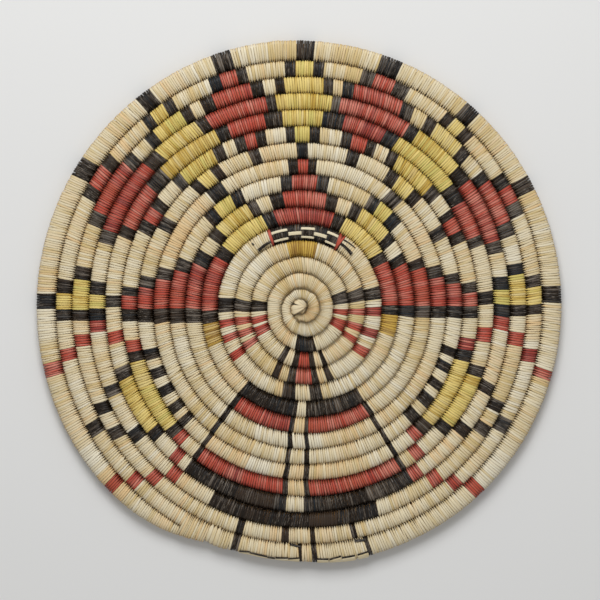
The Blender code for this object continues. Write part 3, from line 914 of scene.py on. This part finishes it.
def stitches_between(start, stop, seed):
    """The stitches of a stretch of the coil, in turns: each run of the chart is filled with a
    whole number of them, none quite as wide as the next."""
    sizes = bpy.context.scene.plaque_sizes
    chance = np.random.default_rng(ROOM_SEEDS + seed)
    turns, spans, dyes = [], [], []
    for letter, end in dye_runs():
        end = min(end, stop)
        pitch = sizes.stitch_pitch * (1 + sizes.eye_spread * math.exp(1 - end))
        room = (end - start) * 2 * math.pi * radius_at(end) / pitch
        if room < LEAST_ROOM:
            continue
        count = max(1, round(room))
        widths = np.clip(chance.normal(1, ROOM_SPREAD, count), *ROOMS)
        widths *= (end - start) / widths.sum()
        turns.append(start + np.cumsum(widths) - widths / 2)
        spans.append(widths)
        dyes.append(np.full(count, DYES.index(letter)))
        start = end
    return Stitches(np.concatenate(turns), np.concatenate(spans), np.concatenate(dyes), seed)


def broad_stitches(start, stop, count, seed):
    """A few natural stitches that fill a stretch of the coil, some much broader than others."""
    widths = np.random.default_rng(ROOM_SEEDS + seed).uniform(*BROAD_ROOMS, count)
    widths *= (stop - start) / widths.sum()
    return Stitches(start + np.cumsum(widths) - widths / 2, widths, np.zeros(count, int), seed)


def join_stitches(one, other):
    for name in vars(one):
        setattr(one, name, np.concatenate((getattr(one, name), getattr(other, name))))
    return one


def sew(name, pattern, stitches, finishes, nodes, edges=coil_edges):
    """Copies the stitch to each of its places, as one piece."""
    sizes = bpy.context.scene.plaque_sizes
    x, y, z = pattern.points.T
    across = (x / REACH)[None] * np.where(x > 0, stitches.reach[:, None], 1)
    height = (z / RISE)[None] * stitches.lift[:, None]
    aside = (y / sizes.stitch_pitch * sizes.fill)[None] * stitches.full[:, None]
    aside = (aside + stitches.lean[:, None] * across) * stitches.span[:, None]
    turn = stitches.turn[:, None] + aside
    points = between_edges(*edges(turn), across, height).reshape(-1, 3)
    count = len(stitches.turn)
    faces = np.array(pattern.faces)[None] + len(x) * np.arange(count)[:, None, None]
    faces = faces.reshape(-1, 4).tolist()
    fibre = np.repeat(pattern.points[None], count, axis=0)
    fibre[..., 0] += stitches.fibre[:, :1]
    fibre[..., 2] += stitches.fibre[:, 1:]
    tone, tint = stitches.look.T
    # How deep each point lies in the groove, which sets how much shade is painted on it there
    depth = np.clip(abs(x) / REACH, 0, 1) * np.where(abs(y) < NEAR, CROWN_SHARE, 1)
    tone = tone[:, None] + stitches.fade[:, None] * x / REACH
    values = {"tone": tone, "tint": tint[:, None], "groove": depth}
    dye = np.repeat(stitches.dye, len(pattern.faces))
    make_piece(name, points, faces, finishes, nodes, fibre, values, dye)


# The pieces

def lay_bundle():
    """The grass bundle, one long tube inside the sewing."""
    cover = BUNDLE_COVER_SHARE * bpy.context.scene.plaque_sizes.splint_depth
    start, stop = turn_at(COURSES, START_ANGLE), turn_at(1, FINISH_TO - 1)
    turns = np.linspace(start, stop, int((stop - start) * BUNDLE_STEPS))
    inner, outer = coil_edges(turns)
    width = np.linalg.norm(outer - inner, axis=-1)
    curve = bpy.data.curves.new("grass_foundation", "CURVE")
    curve.dimensions = "3D"
    curve.bevel_depth = REACH
    curve.bevel_resolution = 3
    curve.use_fill_caps = True
    spline = curve.splines.new("POLY")
    spline.points.add(len(turns) - 1)
    for point, place, wide in zip(spline.points, on_coil(turns, 0, 0), width):
        point.co = (*place, 1)
        point.radius = (min(wide, COIL_PITCH) / 2 - cover) / REACH
    made = bpy.data.objects.new("grass_foundation", curve)
    bpy.context.scene.collection.objects.link(made)
    bpy.ops.object.select_all(action="DESELECT")
    made.select_set(True)
    bpy.context.view_layer.objects.active = made
    bpy.ops.object.convert(target="MESH")
    made = bpy.context.object
    made.data.materials.append(grass_finish())
    made.data.shade_smooth()
    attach(made, "root")
    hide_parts("foundation_bundle")


def sew_courses(finishes):
    rim_pattern = model_stitch(bpy.context.scene.plaque_sizes.rim_pinch)
    pattern = model_stitch()
    for course in range(1, COURSES + 1):
        start = turn_at(course, START_ANGLE if course == COURSES else FIRST_ANGLE)
        stop = turn_at(course, {1: FINISH_FROM, 2: SPAN_FROM}.get(course, LAST_ANGLE))
        stitches = stitches_between(start, stop, course)
        if course == 2:
            gap = turn_at(2, FINISH_TO), turn_at(2, LAST_ANGLE)
            rest = broad_stitches(*gap, GAP_STITCHES, SEEDS["gap"])
            rest.look[:, 0] = GAP_TONE
            stitches = join_stitches(stitches, rest)
        # The natural stitches of the last courses are made darker, towards straw, on one side
        if course <= DARKENED_COURSES:
            side = np.cos(2 * math.pi * stitches.turn - DARKENED_SIDE)
            stitches.look[:, 0] += RIM_SIDE_DARKENING * eased(side) * (stitches.dye == 0)
        name = f"course_{course:02d}_stitches"
        shape = rim_pattern if course == 1 else pattern
        sew(name, shape, stitches, finishes, [f"sewing_course_{course:02d}"])


def sew_rim_end(finishes):
    """The last stitches of the rim. Past the end of the groove they take in course 2 too."""
    stretch = turn_at(1, FINISH_FROM), turn_at(1, FINISH_TO)
    stitches = stitches_between(*stretch, SEEDS["rim end"])
    limit = turn_at(1, SPAN_FROM)

    def edges(turn):
        near, outer = coil_edges(turn)
        spans = (turn.mean(axis=1, keepdims=True) > limit)[..., None]
        return np.where(spans, groove(turn - 2), near), outer

    pattern = model_stitch(bpy.context.scene.plaque_sizes.rim_pinch)
    sew("rim_end_stitches", pattern, stitches, finishes, ["rim_finish"], edges)


def sew_start(finishes):
    """The button at the eye: broad stitches that fan out from the hole where the coil starts."""
    start = turn_at(COURSES + 1, START_ANGLE)
    stitches = broad_stitches(start, start + 1, START_STITCHES, SEEDS["start"])
    stitches.look[:, 0] *= START_TONE_SHARE

    def edges(turn):
        outer = groove(turn)
        return np.broadcast_to(START_HOLE, outer.shape), outer

    sew("start_button", model_stitch(), stitches, finishes, ["start_knot"], edges)


class Skin:
    """The coil's upper surface, read from the stitch: its height at a place across the coil,
    and the way that it faces there."""

    def __init__(self, pattern):
        crown = pattern.points[np.abs(pattern.points[:, 1]) < NEAR]
        crown = crown[crown[:, 2] > 0]
        crown = crown[np.argsort(crown[:, 0])]
        self.x = crown[:, 0]
        self.z = crown[:, 2]

    def at(self, across, offset):
        """(across, height) shares of a point above the skin."""
        x = across * REACH
        step = REACH / 10
        before, after = (np.interp(place, self.x, self.z) for place in (x - step, x + step))
        slope = (after - before) / (2 * step)
        length = np.sqrt(1 + slope ** 2)
        z = np.interp(x, self.x, self.z) + offset / length
        return (x - offset * slope / length) / REACH, z / RISE


class Layer:
    """Lays copies of one flat splint along the coil, over its sewing."""

    def __init__(self, course, finish, slot, seed, tones, pieces=STRIP_PIECES):
        self.course = course
        self.finish = finish
        self.slot = slot
        self.chance = np.random.default_rng(seed)
        self.tones = tones
        self.skin = Skin(model_stitch())
        self.strip = model_strip(pieces)

    def lay(self, name, ends, width, nodes=(), lift=None):
        """Ends are (bearing, across, bearing, across). The lift gives how far above the skin
        the splint lies, for turns along it. The width may vary along it, by a function of the
        share of its length."""
        depth = bpy.context.scene.plaque_sizes.strip_depth
        along, aside, up = self.strip.points.T
        start, stop = (turn_towards(self.course, bearing) for bearing in ends[::2])
        turn = start + (stop - start) * along
        line = ends[1] + (ends[3] - ends[1]) * along
        wide = width(along) if callable(width) else width
        above = lift(turn) if lift else 0.0
        across, height = self.skin.at(line + aside * wide / REACH, above + up * depth)
        points = on_coil(turn, across, height)
        length = 2 * math.pi * abs(stop - start) * np.linalg.norm(points[0, :2])
        faces = self.strip.faces
        if stop < start:
            faces = [face[::-1] for face in faces]
        shift = (self.chance.uniform(-GRAIN_SHIFT, GRAIN_SHIFT), 0, 0)
        fibre = np.stack((along * length, aside * STRIP_GRAIN_WIDTH, up * 0), axis=-1) + shift
        tone = self.chance.uniform(*self.tones)
        tint = self.chance.uniform(-STRIP_TINT, STRIP_TINT)
        values = {"tone": tone, "tint": tint, "groove": 0.0}
        make_piece(name, points, faces, [self.finish], nodes, fibre, values)


def over_and_under(shown):
    """The lift of a splint that shows over the sewing between these bearings, and is sunk into
    the bundle elsewhere."""
    depth = bpy.context.scene.plaque_sizes.strip_depth
    stretches = [[turn_towards(BAND_COURSE, bearing) for bearing in ends] for ends in shown]

    def lift(turn):
        share = np.full_like(turn, -1.0)
        for low, high in stretches:
            share = np.maximum(share, np.minimum(turn - low, high - turn) * BAND_RAMPS)
        return depth * BAND_SUNK * (eased(share + BAND_RAMP_EARLY) - 1)

    return lift


def lay_band(finishes):
    """The head-band: three pale splints that go over the black sewing and under it, the red
    splints that tie their ends down, and the loose black ends beside them."""
    natural, black = finishes[:2]
    pale = Layer(
        BAND_COURSE, natural, "natural_splint", SEEDS["band"], BAND_TONES, BAND_PIECES
    )
    for side, (width, first, last, shown) in BAND_LINES.items():
        ends = (BAND_ENDS[0], first, BAND_ENDS[1], last)
        name, node = f"band_splint_{side}", f"overlay_strip_{side}"
        pale.lay(name, ends, width, [node], over_and_under(shown))
    pattern = model_stitch()
    for i, (side, ties) in enumerate(BAND_TIES.items()):
        bearings, widths, leans = np.array(ties).T
        turn = np.array([turn_towards(BAND_COURSE, bearing) for bearing in bearings])
        dye = np.full(len(turn), DYES.index("R"))
        stitches = Stitches(turn, widths / 360, dye, SEEDS["ties"] + i)
        stitches.lean = leans
        stitches.lift = np.full(len(turn), TIE_LIFT)
        name, node = f"band_tie_{side}", f"red_tie_{side}"
        sew(name, pattern, stitches, finishes, [node])
    dark = Layer(
        BAND_COURSE, black, "black_splint", SEEDS["black ends"], BLACK_END_TONES, BLACK_END_PIECES
    )
    for side, (*ends, width, lost) in BAND_BLACK_ENDS.items():
        name = f"band_black_end_{side}"
        dark.lay(name, ends, lambda along: width * (1 - lost * along ** 3))


def lay_boots(finishes):
    """The black splint under each boot, in steps, with a pale one outside each step, and the
    black line round its toe."""
    sizes = bpy.context.scene.plaque_sizes
    natural, black = finishes[:2]
    dark = Layer(1, black, "black_splint", SEEDS["soles"], SOLE_TONES)
    pale = Layer(1, natural, "natural_splint", SEEDS["sole edges"], PALE_TONES)
    for side, steps in SOLE_STEPS.items():
        for i, (*ends, outer) in enumerate(steps):
            sole, edge = ([f"boot_sole_{side}"], [f"edge_strip_{side}"]) if i == 0 else ([], [])
            dark.lay(f"sole_{side}_{i + 1}", ends, sizes.sole_width, sole)
            first, last = (across + sizes.sole_width / 2 / REACH for across in ends[1::2])
            middle = (ends[0], (first + outer) / 2, ends[2], (last + outer) / 2)
            pale.lay(
                f"sole_edge_{side}_{i + 1}", middle,
                lambda along: (outer - first - (last - first) * along) * REACH, edge,
            )
        dark.lay(f"toe_{side}", TOES[side], sizes.toe_width)


def add_lamp(name, place, size, power):
    """A square lamp that faces the middle of the plaque."""
    data = bpy.data.lights.new(name, "AREA")
    data.shape = "SQUARE"
    data.size = size
    data.energy = power
    lamp = bpy.data.objects.new(name, data)
    lamp.location = place
    lamp.rotation_euler = (-Vector(place)).to_track_quat("-Z", "Y").to_euler()
    bpy.context.scene.collection.objects.link(lamp)


def add_camera():
    """Looks straight down on the plaque's face, with the top of the figure up."""
    stage = bpy.context.scene.plaque_stage
    data = bpy.data.cameras.new("camera")
    data.sensor_width = SENSOR_WIDTH
    data.lens = SENSOR_WIDTH * (stage.camera_height - COIL_HEIGHT) / stage.picture_width
    camera = bpy.data.objects.new("camera", data)
    camera.location = (*PICTURE_CENTRE, stage.camera_height)
    bpy.context.scene.collection.objects.link(camera)
    bpy.context.scene.camera = camera


def add_floor():
    """A wide pale floor. Far from the lamps it is seen as pale as near them."""
    stage = bpy.context.scene.plaque_stage
    bpy.ops.object.select_all(action="DESELECT")
    bpy.ops.mesh.primitive_plane_add(size=stage.floor_size, location=(0, 0, FLOOR_DROP))
    floor = start_object("floor")
    finish = Finish("floor")
    place = finish.node("ShaderNodeTexCoord", output="Object")
    away = finish.node("ShaderNodeVectorMath", {"operation": "LENGTH"}, {0: place}, output="Value")
    glow = finish.between(away, *FLOOR_FADE) * finish.seen()
    glow = finish.mix(glow, opaque(stage.floor, 0), opaque(stage.floor, FLOOR_GLOW))
    finish.show(Base_Color=opaque(stage.floor), Roughness=1.0, Specular_IOR_Level=0.0)
    finish.show(Emission_Color=glow, Emission_Strength=1.0)
    floor.data.materials.append(finish.owner)


def add_sky():
    """Even light from all round, which the camera and the gloss see as white."""
    stage = bpy.context.scene.plaque_stage
    world = bpy.data.worlds.new("sky")
    bpy.context.scene.world = world
    sky = Finish("sky", world)
    sky.show(Color=(1, 1, 1, 1), Strength=stage.sky + sky.seen() * (1 - stage.sky))


# What the panel offers

class PLAQUE_OT_bundle(bpy.types.Operator):
    """Lay the grass bundle in sixteen courses"""

    bl_idname = "plaque.bundle"
    bl_label = "Lay the bundle"

    def execute(self, context):
        lay_bundle()
        return {"FINISHED"}


class PLAQUE_OT_courses(bpy.types.Operator):
    """Sew the sixteen courses by the chart of dyes"""

    bl_idname = "plaque.courses"
    bl_label = "Sew the courses"

    def execute(self, context):
        sew_courses(leaves())
        return {"FINISHED"}


class PLAQUE_OT_start(bpy.types.Operator):
    """Sew the button at the eye"""

    bl_idname = "plaque.start"
    bl_label = "Sew the start"

    def execute(self, context):
        sew_start(leaves())
        return {"FINISHED"}


class PLAQUE_OT_rim_end(bpy.types.Operator):
    """Bind the thin end of the coil down on the course inside it"""

    bl_idname = "plaque.rim_end"
    bl_label = "Finish the rim"

    def execute(self, context):
        sew_rim_end(leaves())
        return {"FINISHED"}


class PLAQUE_OT_band(bpy.types.Operator):
    """Lay the head-band over the sewing of its course, and tie it"""

    bl_idname = "plaque.band"
    bl_label = "Lay the head-band"

    def execute(self, context):
        lay_band(leaves())
        return {"FINISHED"}


class PLAQUE_OT_boots(bpy.types.Operator):
    """Lay the soles and the toes of the boots on the rim"""

    bl_idname = "plaque.boots"
    bl_label = "Lay the boots"

    def execute(self, context):
        lay_boots(leaves())
        return {"FINISHED"}


class PLAQUE_OT_stage(bpy.types.Operator):
    """Set the floor, the lamps, the sky and the camera"""

    bl_idname = "plaque.stage"
    bl_label = "Set the stage"

    def execute(self, context):
        stage = context.scene.plaque_stage
        add_floor()
        add_sky()
        add_lamp("key", *LAMPS["key"], stage.key_power)
        add_lamp("fill", *LAMPS["fill"], stage.fill_power)
        add_camera()
        context.scene.view_settings.view_transform = "Standard"
        return {"FINISHED"}


class PLAQUE_PT_panel(bpy.types.Panel):
    """Lists the plaque's operators and values."""

    bl_label = "Coiled plaque"
    bl_idname = "PLAQUE_PT_panel"
    bl_space_type = "VIEW_3D"
    bl_region_type = "UI"
    bl_category = "Plaque"

    def draw(self, context):
        for operator in OPERATORS:
            self.layout.operator(operator.bl_idname)
        for group in GROUPS:
            values = getattr(context.scene, group)
            for name in values.bl_rna.properties.keys():
                if name not in ("rna_type", "name"):
                    self.layout.prop(values, name)


OPERATORS = (
    PLAQUE_OT_bundle,
    PLAQUE_OT_courses,
    PLAQUE_OT_start,
    PLAQUE_OT_rim_end,
    PLAQUE_OT_band,
    PLAQUE_OT_boots,
    PLAQUE_OT_stage,
)
GROUPS = {"plaque_sizes": PlaqueSizes, "plaque_colours": PlaqueColours, "plaque_stage": PlaqueStage}


def register():
    for kind in (*GROUPS.values(), *OPERATORS, PLAQUE_PT_panel):
        bpy.utils.register_class(kind)
    for name, kind in GROUPS.items():
        setattr(bpy.types.Scene, name, bpy.props.PointerProperty(type=kind))


def unregister():
    for name in GROUPS:
        delattr(bpy.types.Scene, name)
    for kind in (PLAQUE_PT_panel, *reversed(OPERATORS), *GROUPS.values()):
        bpy.utils.unregister_class(kind)


def main():
    register()
    bpy.ops.plaque.bundle()
    bpy.ops.plaque.courses()
    bpy.ops.plaque.start()
    bpy.ops.plaque.rim_end()
    bpy.ops.plaque.band()
    bpy.ops.plaque.boots()
    bpy.ops.plaque.stage()


if __name__ == "__main__":
    main()
